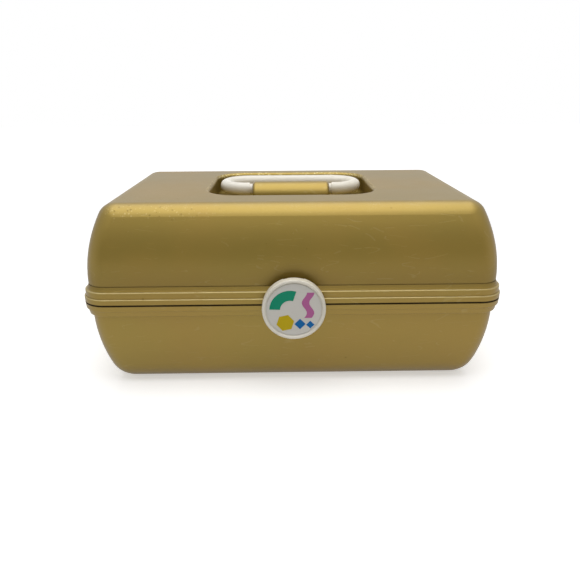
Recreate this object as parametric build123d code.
"""Makeup storage case with a fold-down carry handle, a round swing latch and a lift-out-with-the-lid tray.

Millimetres. X runs across the case, -Y is its front, +Z is up.
The origin is the middle of the flat bottom, on the surface that the case stands on.
"""

from build123d import *
import math
import os

# ---------------------------------------------------------------- case, overall
case_width = 330.0          # across the rim
case_depth = 216.0          # front to back, across the rim
case_height = 150.0         # bottom to the flat top of the lid
seam_height = 75.5          # where lid and base meet
wall = 2.4                  # moulded wall of lid and base
rim_corner = 20.0           # plan radius of the rim's four corners
seam_round = 0.4            # rounding of the edges at the seam
seam_gap = 0.5              # height of the shadow gap round the seam
seam_gap_depth = 2.4        # how far in the gap goes before the lid's land meets the base's rim

# ---------------------------------------------------------------- lid
lid_inset = 4.2             # lid wall, in from the rim
lid_straight = 15.0         # height of the upright wall above the seam
lid_lean = 29.0             # degrees that the bowed wall would lean in by, at the flat top
lid_crown = 14.5            # rounding between the bowed wall and the flat top
lid_lip_height = 5.2        # lowest and widest band
lid_band_height = 10.5      # top of the second band
lid_band_inset = 1.2
lid_shoulder_height = 14.0  # top of the sloped shoulder
lid_shoulder_inset = 2.6
lid_crease_depth = 0.5      # fine groove at the foot of the wall
lid_crease_height = 0.9
lid_band_round = 1.0        # rounding of the lid bands' top edges
band_round = 0.7            # rounding of the base bands' lower edges
skirt_depth = 4.0           # tongue of the lid that drops inside the base's rim
skirt_gap = 0.3

# ---------------------------------------------------------------- base
base_inset = 5.2            # base wall, in from the rim
base_lean = 17.0            # degrees that the bowed wall leans in by, where the heel starts
base_heel = 18.0            # height of the tighter curve at the foot of the wall
base_heel_round = 25.8      # radius of that curve
base_corner = 14.0          # plan radius of the base wall's corners
base_foot_round = 12.0      # rounding between the heel and the flat bottom
base_lip_height = 5.0       # widest band of the base, below the seam
base_lip_taper = 4.0        # degrees
base_band_height = 9.8     # bottom of the second band, below the seam
base_band_inset = 1.4
base_band_taper = 12.0      # degrees
base_lip_width = 3.8        # width of the base's flat rim

# ---------------------------------------------------------------- hinges
hinge_clear = 0.5           # round face of the knuckles, out from the back of the rim
hinge_spread = 95.0         # each hinge's middle, out from the centre line
knuckle_radius = 4.5
knuckle_length = 12.0
knuckle_gap = 0.3
knuckle_leg = 9.0           # height of the leg that joins a knuckle to its rim
leg_margin = 0.4            # how far a leg's root stops short of the rim's inside
hinge_pin_radius = 1.5
hinge_pin_head = 2.6
hinge_pin_head_thick = 1.2

# ---------------------------------------------------------------- fits
running_fit = 0.05          # radial clearance of a pin in the part that turns on it
loose_fit = 0.10            # radial clearance of the tray's lifting pins
side_play = 0.1             # end clearance beside a turning part
corner_tolerance = 0.05     # an edge that spreads less than this in plan is flat on one side

# ---------------------------------------------------------------- handle and its recess
recess_half_width = 70.5
recess_half_depth = 59.0
recess_corner = 27.0
recess_depth = 17.0
recess_edge_round = 3.0
recess_floor_round = 4.0
pivot_back = 7.0            # handle pivot and recess centre, behind the middle of the case
pivot_drop = 5.5            # handle pivot, below the lid's flat top
handle_radius = 5.5         # the grip's round section
handle_half_span = 61.0     # centre line of the bends
handle_reach = 42.0         # pivot to the far bar
trunnion_radius = 3.0
trunnion_length = 8.0
saddle_radius = 12.0        # rounded back of the saddle
saddle_top = 151.0
saddle_half_length = 34.7
saddle_end_round = 3.0
handle_end_gap = 0.3
collar_length = 2.5         # narrow neck between the grip and the saddle
collar_radius = 4.5
saddle_screw_spread = 20.0
saddle_screw_radius = 1.5
saddle_screw_length = 8.0
saddle_screw_head = 3.0
saddle_screw_head_thick = 1.6

# ---------------------------------------------------------------- latch
latch_radius = 24.2
latch_drop = 0.5            # middle of the latch, below the seam
latch_front = 10.0          # front of the latch, out from the front of the rim
latch_thick = 7.0
latch_plate_back = 3.1      # back of the latch's plate, behind its front
latch_plate_thick = 1.4
latch_skirt_inner = 22.2    # inside of the latch's round skirt
insert_radius = 20.9
insert_thick = 0.6
insert_gap = 0.4
latch_front_round = 1.5
latch_bevel = 1.2
latch_axis_rise = 17.0      # latch pin, above the seam
latch_axis_out = 4.2        # latch pin, out from the front of the rim
latch_knuckle_radius = 2.4
latch_pin_radius = 1.2
latch_knuckle_half = 3.5
latch_lug_thick = 2.5
latch_lug_gap = 0.3
latch_notch_gap = 1.5
hook_half_width = 8.0
hook_thick = 2.6
hook_ledge_gap = 0.3
hook_bite = 1.7             # how far the hook reaches under the base's band
hook_foot = 9.0             # height of the foot that holds the hook to the latch
hook_foot_thick = 1.6

# ---------------------------------------------------------------- tray and lifting arms
link_run = 61.0             # lid pivot, forward of the hinge axis
link_rise = 10.0            # lid pivot, above the hinge axis
tray_pivot_run = 72.0       # tray's front pivot, forward of the lid pivot
tray_pivot_drop = 32.0      # tray's front pivot, below the lid pivot
tray_depth = 30.0
tray_top_gap = 0.5
tray_front_gap = 20.0       # tray front, in from the front of the rim
tray_back_run = 20.0        # tray back, behind the lid pivot
tray_corner = 12.0
tray_wall = 1.8
tray_rib_back = 88.0        # long rib, behind the tray's front
tray_bin_half = 50.0        # short ribs of the back row, out from the centre
ear_radius = 6.0
boss_stand = 4.4            # pivot bosses, in from the base's inner wall
boss_radius = 7.0
lid_boss_radius = 6.0
arm_thick = 2.0
arm_half_width = 6.0
arm_boss_gap = 0.4
arm_tray_space = 1.8
rivet_radius = 2.0
rivet_head_radius = 4.2
rivet_shoulder_radius = 3.5
rivet_head_thick = 1.2
rivet_bite = 3.0
divider_x = 49.0
divider_thick = 1.4
divider_slack = 0.1
divider_guide = 1.2
divider_guide_reach = 2.5
divider_drop = 2.0

# ---------------------------------------------------------------- mirror in the lid
mirror_half_width = 95.0
mirror_half_depth = 65.0
mirror_corner = 12.0
mirror_border = 10.0
mirror_lip = 3.0            # how far the frame laps over the glass
mirror_lip_thick = 1.2
mirror_slack = 0.1
glass_thick = 2.0
backing_thick = 1.5
mirror_clear = 2.0          # backing, below the recess's underside
frame_over_backing = 0.6
mirror_boss_radius = 3.8
mirror_boss_x = 90.0
mirror_boss_y = 45.0
mirror_screw_radius = 1.3
mirror_screw_length = 11.0
mirror_screw_head = 2.6
mirror_screw_head_thick = 1.5

# ---------------------------------------------------------------- places that follow from the sizes
half_width = case_width / 2
half_depth = case_depth / 2
lid_spring = seam_height + lid_straight
base_spring = seam_height - base_band_height
lid_bow = (case_height - lid_spring) / math.sin(math.radians(lid_lean))
base_bow = (base_spring - base_heel) / math.sin(math.radians(base_lean))
lid_inner_inset = lid_inset + wall
base_inner_inset = base_inset + wall
hinge_y = half_depth + knuckle_radius + hinge_clear
recess_floor = case_height - recess_depth
recess_underside = recess_floor - wall
pivot_z = case_height - pivot_drop
latch_front_y = -half_depth - latch_front
latch_plate_y = latch_front_y + latch_plate_back
latch_axis_y = -half_depth - latch_axis_out
latch_axis_z = seam_height + latch_axis_rise
latch_z = seam_height - latch_drop
lid_pivot_y = hinge_y - link_run
lid_pivot_z = seam_height + link_rise
tray_pivot_y = lid_pivot_y - tray_pivot_run
tray_pivot_z = lid_pivot_z - tray_pivot_drop
base_pivot_y = hinge_y - tray_pivot_run
base_pivot_z = seam_height - tray_pivot_drop
boss_face = half_width - base_inner_inset - boss_stand
arm_outer = boss_face - arm_boss_gap
arm_inner = arm_outer - arm_thick
tray_side = arm_inner - arm_tray_space
tray_front = -half_depth + tray_front_gap
tray_back = lid_pivot_y + tray_back_run
tray_middle = (tray_front + tray_back) / 2
tray_low = seam_height - tray_depth
tray_high = seam_height - tray_top_gap
tray_floor = tray_low + tray_wall
tray_rib = tray_front + tray_rib_back
backing_top = recess_underside - mirror_clear
glass_top = backing_top - backing_thick
glass_low = glass_top - glass_thick
frame_low = glass_low - mirror_lip_thick
frame_high = backing_top + frame_over_backing


# ================================================================ shapes used more than once
def rounded_block(half_x, half_y, corner, low, high, y=0.0):
    """Upright block with rounded corners in plan."""
    outline = Pos(0, y, low) * RectangleRounded(2 * half_x, 2 * half_y, corner)
    return extrude(outline, amount=high - low)


def box_between(x, y, z):
    """Box from three (low, high) pairs."""
    middle = Pos((x[0] + x[1]) / 2, (y[0] + y[1]) / 2, (z[0] + z[1]) / 2)
    return middle * Box(x[1] - x[0], y[1] - y[0], z[1] - z[0])


def cylinder_x(x, y, z, radius):
    """Cylinder along X from x[0] to x[1]."""
    disc = Plane(origin=(x[0], y, z), z_dir=(1, 0, 0)) * Circle(radius)
    return extrude(disc, amount=x[1] - x[0])


def cylinder_y(x, y, z, radius):
    """Cylinder along Y from y[0] to y[1]."""
    disc = Plane(origin=(x, y[0], z), z_dir=(0, 1, 0)) * Circle(radius)
    return extrude(disc, amount=y[1] - y[0])


def cylinder_z(x, y, z, radius):
    """Cylinder along Z from z[0] to z[1]."""
    disc = Pos(x, y, z[0]) * Circle(radius)
    return extrude(disc, amount=z[1] - z[0])


def both_sides(shape):
    """The shape and its mirror image across the middle of the case."""
    return shape + mirror(shape, about=Plane.YZ)


def mirrored_face(points):
    """Flat face between a run of arcs, given as start, middle, end, middle, end, and its mirror image."""
    outline = Curve()
    for side in (1, -1):
        run = [(side * across, height) for across, height in points]
        for first in range(0, len(run) - 1, 2):
            outline += ThreePointArc(run[first], run[first + 1], run[first + 2])
    (near_x, near_z), (far_x, far_z) = points[0], points[-1]
    outline += Line((near_x, near_z), (-near_x, near_z))
    outline += Line((far_x, far_z), (-far_x, far_z))
    return make_face(outline)


def lid_outline(half, top, bow):
    """Upright at the spring height, and leaning in along one arc to the top."""
    def point(height):
        return (half - bow + math.sqrt(bow ** 2 - (height - lid_spring) ** 2), height)

    return mirrored_face([point(lid_spring), point((lid_spring + top) / 2), point(top)])


def base_outline(half, low, bow, heel_round):
    """Upright at the spring height, leaning in along a long arc and then along the tighter heel."""
    heel_lean = math.radians(base_lean)
    heel_x = half - bow * (1 - math.cos(heel_lean))
    heel_z = base_spring - bow * math.sin(heel_lean)
    end_lean = math.asin(math.sin(heel_lean) + (heel_z - low) / heel_round)

    def wall_point(lean):
        return (half - bow * (1 - math.cos(lean)), base_spring - bow * math.sin(lean))

    def heel_point(lean):
        across = heel_x - heel_round * (math.cos(heel_lean) - math.cos(lean))
        return (across, heel_z - heel_round * (math.sin(lean) - math.sin(heel_lean)))

    wall_run = [wall_point(0), wall_point(heel_lean / 2), wall_point(heel_lean)]
    heel_run = [heel_point((heel_lean + end_lean) / 2), (heel_point(end_lean)[0], low)]
    return mirrored_face(wall_run + heel_run)


def crossed_block(across, along, end, corner, end_round):
    """What a front outline and a side outline have in common, with rounded corners and end."""
    block = extrude(Plane.XZ * across, amount=half_depth, both=True)
    block = block & extrude(Plane.YZ * along, amount=half_width, both=True)

    def is_upright(edge):
        size = edge.bounding_box().size
        return size.Z > min(size.X, size.Y) and min(size.X, size.Y) > corner_tolerance

    block = fillet(block.edges().filter_by(is_upright), corner)
    end_face = block.faces().sort_by(lambda face: abs(face.center().Z - end))[0]
    return fillet(end_face.edges(), end_round)


def lid_block(inset, top, bow, corner, crown):
    across = lid_outline(half_width - inset, top, bow)
    along = lid_outline(half_depth - inset, top, bow)
    return crossed_block(across, along, top, corner, crown)


def base_block(inset, low, bow, heel_round, corner, foot_round):
    across = base_outline(half_width - inset, low, bow, heel_round)
    along = base_outline(half_depth - inset, low, bow, heel_round)
    return crossed_block(across, along, low, corner, foot_round)


def rim_block(inset, low, high, top_round=0.0, bottom_round=0.0):
    """Block in step with the rim's plan, set in by a distance."""
    block = rounded_block(half_width - inset, half_depth - inset, rim_corner - inset, low, high)
    if top_round:
        block = fillet(block.faces().sort_by(Axis.Z)[-1].edges(), top_round)
    if bottom_round:
        block = fillet(block.faces().sort_by(Axis.Z)[0].edges(), bottom_round)
    return block


def tapered_rim(inset, start, height, taper, upward):
    """Rim block whose side slopes in as it leaves its start height."""
    direction = 1 if upward else -1
    outline = RectangleRounded(2 * (half_width - inset), 2 * (half_depth - inset), rim_corner - inset)
    foot = Plane(origin=(0, 0, start), z_dir=(0, 0, direction))
    return extrude(foot * outline, amount=height, taper=taper)


# ================================================================ hinges at the back
def hinge_span(index):
    """X range of knuckle 0, 1 or 2 of the right-hand hinge."""
    pitch = knuckle_length + knuckle_gap
    middle = hinge_spread + (index - 1) * pitch
    return (middle - knuckle_length / 2, middle + knuckle_length / 2)


def hinge_knuckle(index, leg_z, leg_inset):
    """One knuckle with the leg that joins it to the rim."""
    span = hinge_span(index)
    barrel = cylinder_x(span, hinge_y, seam_height, knuckle_radius)
    leg = box_between(span, (half_depth - leg_inset, hinge_y), leg_z)
    return barrel + leg


def hinge_bore(index, radius):
    span = hinge_span(index)
    return cylinder_x((span[0] - 1, span[1] + 1), hinge_y, seam_height, radius)


def make_hinge_pin():
    start = hinge_span(0)[0]
    end = hinge_span(2)[1]
    pin = cylinder_x((start, end), hinge_y, seam_height, hinge_pin_radius)
    return pin + cylinder_x((start - hinge_pin_head_thick, start), hinge_y, seam_height, hinge_pin_head)


# ================================================================ base
def base_outside():
    wall_block = base_block(base_inset, 0.0, base_bow, base_heel_round, base_corner, base_foot_round)
    lip = tapered_rim(0.0, seam_height, base_lip_height, base_lip_taper, False)
    lip = fillet(lip.faces().sort_by(Axis.Z)[-1].edges(), seam_round)
    lip = fillet(lip.faces().sort_by(Axis.Z)[0].edges(), band_round)
    band_start = seam_height - base_lip_height
    band_depth = base_band_height - base_lip_height
    band = tapered_rim(base_band_inset, band_start, band_depth, base_band_taper, False)
    band = fillet(band.faces().sort_by(Axis.Z)[0].edges(), band_round)
    return wall_block + lip + band


def base_cavity():
    hollow = base_block(base_inner_inset, wall, base_bow - wall, base_heel_round - wall,
                        base_corner - wall, base_foot_round - wall)
    neck_top = base_spring + wall
    neck = rounded_block(half_width - base_inner_inset, half_depth - base_inner_inset,
                         base_corner - wall, base_spring, neck_top)
    return hollow + neck + rim_block(base_lip_width, neck_top, seam_height)


def base_arm_boss(outside):
    """Boss inside the right-hand wall for the arm's lower pivot."""
    boss = cylinder_x((boss_face, half_width), base_pivot_y, base_pivot_z, boss_radius)
    return boss & outside


def make_base_shell():
    outside = base_outside()
    shell = outside - base_cavity()
    shell = shell + both_sides(base_arm_boss(outside))
    bite = (boss_face, boss_face + rivet_bite)
    shell = shell - both_sides(cylinder_x(bite, base_pivot_y, base_pivot_z, rivet_radius))
    legs = hinge_knuckle(0, (seam_height - knuckle_leg, seam_height), base_lip_width - leg_margin)
    legs = legs + hinge_knuckle(2, (seam_height - knuckle_leg, seam_height), base_lip_width - leg_margin)
    bores = hinge_bore(0, hinge_pin_radius) + hinge_bore(2, hinge_pin_radius)
    return shell + both_sides(legs) - both_sides(bores)


def make_arm_base_pivot():
    """Rivet that the right-hand arm turns on, fixed in the base's boss."""
    neck = arm_inner - side_play
    shank = cylinder_x((neck, boss_face + rivet_bite), base_pivot_y, base_pivot_z, rivet_radius)
    head = cylinder_x((neck - rivet_head_thick, neck), base_pivot_y, base_pivot_z, rivet_head_radius)
    return shank + head


# ================================================================ lid
def lid_outside():
    dome = lid_block(lid_inset, case_height, lid_bow, rim_corner - lid_inset, lid_crown)
    upright = rim_block(lid_inset, seam_height, lid_spring)
    lip_low = seam_height + seam_gap
    lip = rim_block(0.0, lip_low, seam_height + lid_lip_height, lid_band_round, seam_round)
    land = rim_block(seam_gap_depth, seam_height, lip_low + seam_round)
    band = rim_block(lid_band_inset, lip_low + seam_round, seam_height + lid_band_height, lid_band_round)
    slope_rise = lid_shoulder_height - lid_band_height
    slope_taper = math.degrees(math.atan((lid_inset - lid_shoulder_inset) / slope_rise))
    shoulder = tapered_rim(lid_shoulder_inset, seam_height + lid_band_height, slope_rise, slope_taper, True)
    return dome + upright + land + lip + band + shoulder - lid_crease()


def lid_crease():
    """Fine groove round the foot of the wall, just above the shoulder."""
    low = seam_height + lid_shoulder_height
    high = low + lid_crease_height
    return rim_block(0.0, low, high) - rim_block(lid_inset + lid_crease_depth, low, high)


def lid_cavity():
    corner = rim_corner - lid_inner_inset
    hollow = lid_block(lid_inner_inset, case_height - wall, lid_bow - wall, corner, lid_crown - wall)
    return hollow + rim_block(lid_inner_inset, seam_height, lid_spring)


def lid_skirt():
    """Thin tongue that keeps the lid in line with the base."""
    low = seam_height - skirt_depth
    high = seam_height + 1
    return rim_block(base_lip_width + skirt_gap, low, high) - rim_block(lid_inner_inset, low, high)


def recess_tub():
    """Outside of the pocket that the handle lies in, seen from inside the lid."""
    return rounded_block(recess_half_width + wall, recess_half_depth + wall, recess_corner + wall,
                         recess_underside, case_height - wall, pivot_back)


def recess_hollow():
    pocket = rounded_block(recess_half_width, recess_half_depth, recess_corner,
                           recess_floor, case_height + 1, pivot_back)
    return fillet(pocket.faces().sort_by(Axis.Z)[0].edges(), recess_floor_round)


def soften_recess_edge(shell):
    def on_recess(edge):
        place = edge.center()
        beside = abs(place.X) < recess_half_width + 1
        return beside and abs(place.Y - pivot_back) < recess_half_depth + 1

    top_edges = shell.edges().filter_by_position(Axis.Z, case_height - 0.01, case_height + 0.01)
    return fillet(top_edges.filter_by(on_recess), recess_edge_round)


def latch_lug_span():
    start = latch_knuckle_half + latch_lug_gap
    return (start, start + latch_lug_thick)


def latch_lug():
    """Right-hand lug on the lid's front wall that carries the latch pin."""
    span = latch_lug_span()
    barrel = cylinder_x(span, latch_axis_y, latch_axis_z, latch_knuckle_radius)
    root_y = -half_depth + lid_inset + wall / 2
    height = (latch_axis_z - latch_knuckle_radius, latch_axis_z)
    return barrel + box_between(span, (latch_axis_y, root_y), height)


def lid_tray_boss(outside):
    """Boss inside the lid's right-hand wall for the tray's lifting pin."""
    boss = cylinder_x((boss_face, half_width), lid_pivot_y, lid_pivot_z, lid_boss_radius)
    return boss & outside


def mirror_points():
    rows = (pivot_back - mirror_boss_y, pivot_back + mirror_boss_y)
    return [(x, y) for x in (-mirror_boss_x, mirror_boss_x) for y in rows]


def saddle_screw_points():
    return [(-saddle_screw_spread, pivot_back), (saddle_screw_spread, pivot_back)]


def make_lid_shell():
    outside = lid_outside()
    shell = outside - lid_cavity() + lid_skirt() + recess_tub() - recess_hollow()
    shell = soften_recess_edge(shell)
    for x, y in mirror_points():
        shell = shell + cylinder_z(x, y, (frame_high, case_height - wall / 2), mirror_boss_radius)
        shell = shell - cylinder_z(x, y, (frame_high, frame_low + mirror_screw_length), mirror_screw_radius)
    for x, y in saddle_screw_points():
        shell = shell - cylinder_z(x, y, (recess_underside, recess_floor), saddle_screw_radius + loose_fit)
    shell = shell + both_sides(lid_tray_boss(outside))
    bite = (boss_face, boss_face + rivet_bite)
    shell = shell - both_sides(cylinder_x(bite, lid_pivot_y, lid_pivot_z, rivet_radius))
    shell = shell + both_sides(latch_lug())
    lug_end = latch_lug_span()[1] + 1
    shell = shell - cylinder_x((-lug_end, lug_end), latch_axis_y, latch_axis_z, latch_pin_radius)
    middle = hinge_knuckle(1, (seam_height, seam_height + knuckle_leg), lid_inset)
    return shell + both_sides(middle) - both_sides(hinge_bore(1, hinge_pin_radius + running_fit))


def make_lid_tray_pivot():
    """Stepped pin in the lid's right-hand boss that lifts the back of the tray."""
    end_head = tray_side - tray_wall - 2 * side_play
    shoulder = tray_side + 2 * side_play
    pin = cylinder_x((end_head, boss_face + rivet_bite), lid_pivot_y, lid_pivot_z, rivet_radius)
    pin = pin + cylinder_x((shoulder, boss_face), lid_pivot_y, lid_pivot_z, rivet_shoulder_radius)
    head = (end_head - rivet_head_thick, end_head)
    return pin + cylinder_x(head, lid_pivot_y, lid_pivot_z, rivet_shoulder_radius)


def make_latch_pin():
    end = latch_lug_span()[1]
    return cylinder_x((-end, end), latch_axis_y, latch_axis_z, latch_pin_radius)


# ================================================================ handle
def make_handle_saddle():
    """Round-backed bar across the recess that the handle's ends turn in."""
    span = (-saddle_half_length, saddle_half_length)
    width = (pivot_back - saddle_radius, pivot_back + saddle_radius)
    barrel = cylinder_x(span, pivot_back, saddle_top - saddle_radius, saddle_radius)
    stem = box_between(span, width, (recess_floor, saddle_top - saddle_radius))
    saddle = barrel & box_between(span, width, (recess_floor, saddle_top))
    saddle = saddle + stem
    crown = saddle.edges().filter_by(lambda edge: edge.length > saddle_radius and edge.center().Z > pivot_z
                                     and abs(edge.center().X) > saddle_half_length - 0.01)
    saddle = fillet(crown, saddle_end_round)
    socket = cylinder_x((saddle_half_length - trunnion_length, saddle_half_length),
                        pivot_back, pivot_z, trunnion_radius + running_fit)
    saddle = saddle - both_sides(socket)
    for x, y in saddle_screw_points():
        top = recess_underside + saddle_screw_length
        saddle = saddle - cylinder_z(x, y, (recess_floor, top), saddle_screw_radius)
    return saddle


def make_saddle_screws():
    end = recess_underside + saddle_screw_length
    head_low = recess_underside - saddle_screw_head_thick
    screws = Part()
    for x, y in saddle_screw_points():
        shank = cylinder_z(x, y, (recess_underside, end), saddle_screw_radius)
        head = cylinder_z(x, y, (head_low, recess_underside), saddle_screw_head)
        screws = screws + shank + head
    return screws


def make_handle():
    """Round grip: a long bar behind, two half-turn ends, and a collar and trunnion at each side."""
    bend = handle_reach / 2
    collar_x = saddle_half_length + handle_end_gap
    neck_x = collar_x + collar_length
    straight_x = handle_half_span - bend
    far_y = pivot_back + handle_reach
    middle_y = pivot_back + bend
    path = Line((neck_x, pivot_back, pivot_z), (straight_x, pivot_back, pivot_z))
    path += ThreePointArc((straight_x, pivot_back, pivot_z), (handle_half_span, middle_y, pivot_z),
                          (straight_x, far_y, pivot_z))
    path += Line((straight_x, far_y, pivot_z), (-straight_x, far_y, pivot_z))
    path += ThreePointArc((-straight_x, far_y, pivot_z), (-handle_half_span, middle_y, pivot_z),
                          (-straight_x, pivot_back, pivot_z))
    path += Line((-straight_x, pivot_back, pivot_z), (-neck_x, pivot_back, pivot_z))
    section = Plane(origin=(neck_x, pivot_back, pivot_z), z_dir=(1, 0, 0)) * Circle(handle_radius)
    grip = sweep(section, path=path)
    trunnion = cylinder_x((saddle_half_length - trunnion_length + handle_end_gap, neck_x),
                          pivot_back, pivot_z, trunnion_radius)
    collar = cylinder_x((collar_x, neck_x), pivot_back, pivot_z, collar_radius)
    return grip + both_sides(trunnion) + both_sides(collar)


# ================================================================ latch
def make_latch_body():
    """Round cup that swings on the latch pin and covers the seam."""
    back_y = latch_front_y + latch_thick
    cup = cylinder_y(0, (latch_front_y, back_y), latch_z, latch_radius)
    cup = fillet(cup.faces().sort_by(Axis.Y)[0].edges(), latch_front_round)
    pocket_back = latch_plate_y - latch_plate_thick
    pocket_radius = insert_radius + insert_gap
    cup = cup - cylinder_y(0, (latch_front_y, pocket_back), latch_z, pocket_radius)
    cup = chamfer(cup.faces().sort_by(Axis.Y)[0].inner_wires()[0].edges(), latch_bevel)
    cup = cup - cylinder_y(0, (latch_plate_y, back_y), latch_z, latch_skirt_inner)
    notch_half = latch_lug_span()[1] + latch_notch_gap
    notch_z = (latch_axis_z, latch_z + latch_radius)
    cup = cup - box_between((-notch_half, notch_half), (latch_axis_y, back_y), notch_z)
    span = (-latch_knuckle_half, latch_knuckle_half)
    knuckle = cylinder_x(span, latch_axis_y, latch_axis_z, latch_knuckle_radius)
    height = (latch_axis_z - latch_knuckle_radius, latch_axis_z)
    web = box_between(span, (latch_plate_y, latch_axis_y), height)
    bore = cylinder_x(span, latch_axis_y, latch_axis_z, latch_pin_radius + running_fit)
    return cup + knuckle + web - bore


def make_latch_insert():
    """Printed disc that sits in the front of the latch."""
    seat = latch_plate_y - latch_plate_thick
    return cylinder_y(0, (seat - insert_thick, seat), latch_z, insert_radius)


def make_latch_hook():
    """Springy tongue behind the latch that snaps under the base's band."""
    band_slope = math.tan(math.radians(base_band_taper))
    band_foot_inset = base_band_inset + band_slope * (base_band_height - base_lip_height)
    tip = -half_depth + band_foot_inset + hook_bite
    top = base_spring - hook_ledge_gap
    span = (-hook_half_width, hook_half_width)
    tongue = box_between(span, (latch_plate_y, tip), (top - hook_thick, top))
    foot = box_between(span, (latch_plate_y, latch_plate_y + hook_foot_thick), (top - hook_foot, top))
    return tongue + foot


# ================================================================ lifting arms
def make_arm():
    """Flat steel link on the right, from the base's boss to the tray."""
    span = (arm_inner, arm_outer)
    ends = [(base_pivot_y, base_pivot_z), (tray_pivot_y, tray_pivot_z)]
    length = math.dist(ends[0], ends[1])
    turn = math.degrees(math.atan2(ends[1][1] - ends[0][1], ends[1][0] - ends[0][0]))
    middle = Plane(origin=(arm_inner, (ends[0][0] + ends[1][0]) / 2, (ends[0][1] + ends[1][1]) / 2),
                   x_dir=(0, 1, 0), z_dir=(1, 0, 0))
    outline = Rot(0, 0, turn) * SlotCenterToCenter(length, 2 * arm_half_width)
    strap = extrude(middle * outline, amount=arm_thick)
    for y, z in ends:
        strap = strap - cylinder_x(span, y, z, rivet_radius + running_fit)
    return strap


# ================================================================ tray
def tray_walls():
    depth = (tray_back - tray_front) / 2
    outside = rounded_block(tray_side, depth, tray_corner, tray_low, tray_high, tray_middle)
    inside = rounded_block(tray_side - tray_wall, depth - tray_wall, tray_corner - tray_wall,
                           tray_floor, tray_high, tray_middle)
    return outside - fillet(inside.faces().sort_by(Axis.Z)[0].edges(), tray_wall)


def tray_ear():
    """Tab that rises from the tray's right wall to the lid's lifting pin."""
    span = (tray_side - tray_wall, tray_side)
    disc = cylinder_x(span, lid_pivot_y, lid_pivot_z, ear_radius)
    width = (lid_pivot_y - ear_radius, lid_pivot_y + ear_radius)
    return disc + box_between(span, width, (tray_high - 1, lid_pivot_z))


def tray_ribs():
    """Fixed ribs that split the tray into a front row and three bins behind it."""
    high = tray_high - divider_drop
    inner_x = tray_side - tray_wall / 2
    ribs = box_between((-inner_x, inner_x), (tray_rib, tray_rib + tray_wall), (tray_floor, high))
    short = box_between((tray_bin_half, tray_bin_half + tray_wall), (tray_rib, tray_back - tray_wall / 2),
                        (tray_floor, high))
    return ribs + both_sides(short)


def divider_guides():
    """Pairs of small ribs that hold the right-hand loose divider upright."""
    high = tray_high - divider_drop
    near = divider_x - divider_thick / 2 - divider_slack
    far = divider_x + divider_thick / 2 + divider_slack
    front = (tray_front + tray_wall / 2, tray_front + tray_wall + divider_guide_reach)
    rear = (tray_rib - divider_guide_reach, tray_rib + tray_wall / 2)
    guides = Part()
    for y in (front, rear):
        guides = guides + box_between((near - divider_guide, near), y, (tray_floor, high))
        guides = guides + box_between((far, far + divider_guide), y, (tray_floor, high))
    return guides


def make_tray_shell():
    tray = tray_walls() + tray_ribs() + both_sides(divider_guides()) + both_sides(tray_ear())
    span = (tray_side - tray_wall, tray_side)
    tray = tray - both_sides(cylinder_x(span, lid_pivot_y, lid_pivot_z, rivet_radius + loose_fit))
    return tray - both_sides(cylinder_x(span, tray_pivot_y, tray_pivot_z, rivet_radius))


def make_divider():
    thick = (divider_x - divider_thick / 2, divider_x + divider_thick / 2)
    length = (tray_front + tray_wall + divider_slack, tray_rib - divider_slack)
    plate = box_between(thick, length, (tray_floor, tray_high - divider_drop))
    lower = plate.edges().filter_by(Axis.X).sort_by(Axis.Z)[:2]
    return fillet(lower, tray_wall)


def make_arm_tray_pivot():
    """Rivet in the tray's right wall that the arm's upper end turns on."""
    outer = arm_outer + side_play
    inner = tray_side - tray_wall
    steps = [
        ((inner, outer), rivet_radius),
        ((outer, outer + rivet_head_thick), rivet_head_radius),
        ((tray_side, arm_inner - side_play), rivet_shoulder_radius),
        ((inner - rivet_head_thick, inner), rivet_shoulder_radius),
    ]
    rivet = Part()
    for span, radius in steps:
        rivet = rivet + cylinder_x(span, tray_pivot_y, tray_pivot_z, radius)
    return rivet


# ================================================================ mirror
def mirror_block(inset, low, high):
    return rounded_block(mirror_half_width - inset, mirror_half_depth - inset, mirror_corner - inset / 2,
                         low, high, pivot_back)


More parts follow.
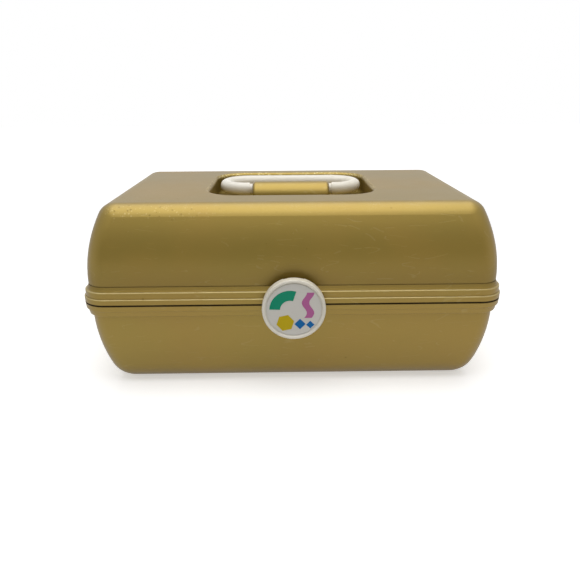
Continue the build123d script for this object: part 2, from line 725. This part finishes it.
def make_mirror_frame():
    ring = mirror_block(0.0, frame_low, frame_high)
    ring = fillet(ring.faces().sort_by(Axis.Z)[0].edges(), mirror_lip_thick)
    ring = ring - mirror_block(mirror_border, glass_low, frame_high)
    ring = ring - mirror_block(mirror_border + mirror_lip, frame_low, glass_low)
    for x, y in mirror_points():
        ring = ring - cylinder_z(x, y, (frame_low, frame_high), mirror_screw_radius + loose_fit)
    return ring


def make_mirror_glass():
    return mirror_block(mirror_border + mirror_slack, glass_low, glass_top)


def make_mirror_backing():
    return mirror_block(mirror_border + mirror_slack, glass_top, backing_top)


def make_mirror_screws():
    screws = Part()
    for x, y in mirror_points():
        shank = cylinder_z(x, y, (frame_low, frame_low + mirror_screw_length), mirror_screw_radius)
        head = cylinder_z(x, y, (frame_low - mirror_screw_head_thick, frame_low), mirror_screw_head)
        screws = screws + shank + head
    return screws


# ================================================================ the assembly
def make_nodes():
    hinge_pin = make_hinge_pin()
    arm = make_arm()
    divider = make_divider()
    return {
        "base_shell": make_base_shell(),
        "hinge_pin_right": hinge_pin,
        "hinge_pin_left": mirror(hinge_pin, about=Plane.YZ),
        "arm_base_pivots": both_sides(make_arm_base_pivot()),
        "lid_shell": make_lid_shell(),
        "lid_tray_pivots": both_sides(make_lid_tray_pivot()),
        "latch_pin": make_latch_pin(),
        "handle_saddle": make_handle_saddle(),
        "saddle_screws": make_saddle_screws(),
        "handle": make_handle(),
        "latch_body": make_latch_body(),
        "latch_insert": make_latch_insert(),
        "latch_hook": make_latch_hook(),
        "arm_right": arm,
        "arm_left": mirror(arm, about=Plane.YZ),
        "tray_shell": make_tray_shell(),
        "tray_divider_right": divider,
        "tray_divider_left": mirror(divider, about=Plane.YZ),
        "arm_tray_pivots": both_sides(make_arm_tray_pivot()),
        "mirror_frame": make_mirror_frame(),
        "mirror_glass": make_mirror_glass(),
        "mirror_backing": make_mirror_backing(),
        "mirror_screws": make_mirror_screws(),
    }


os.makedirs("parts", exist_ok=True)
for name, shape in make_nodes().items():
    export_step(shape, f"parts/{name}.step")
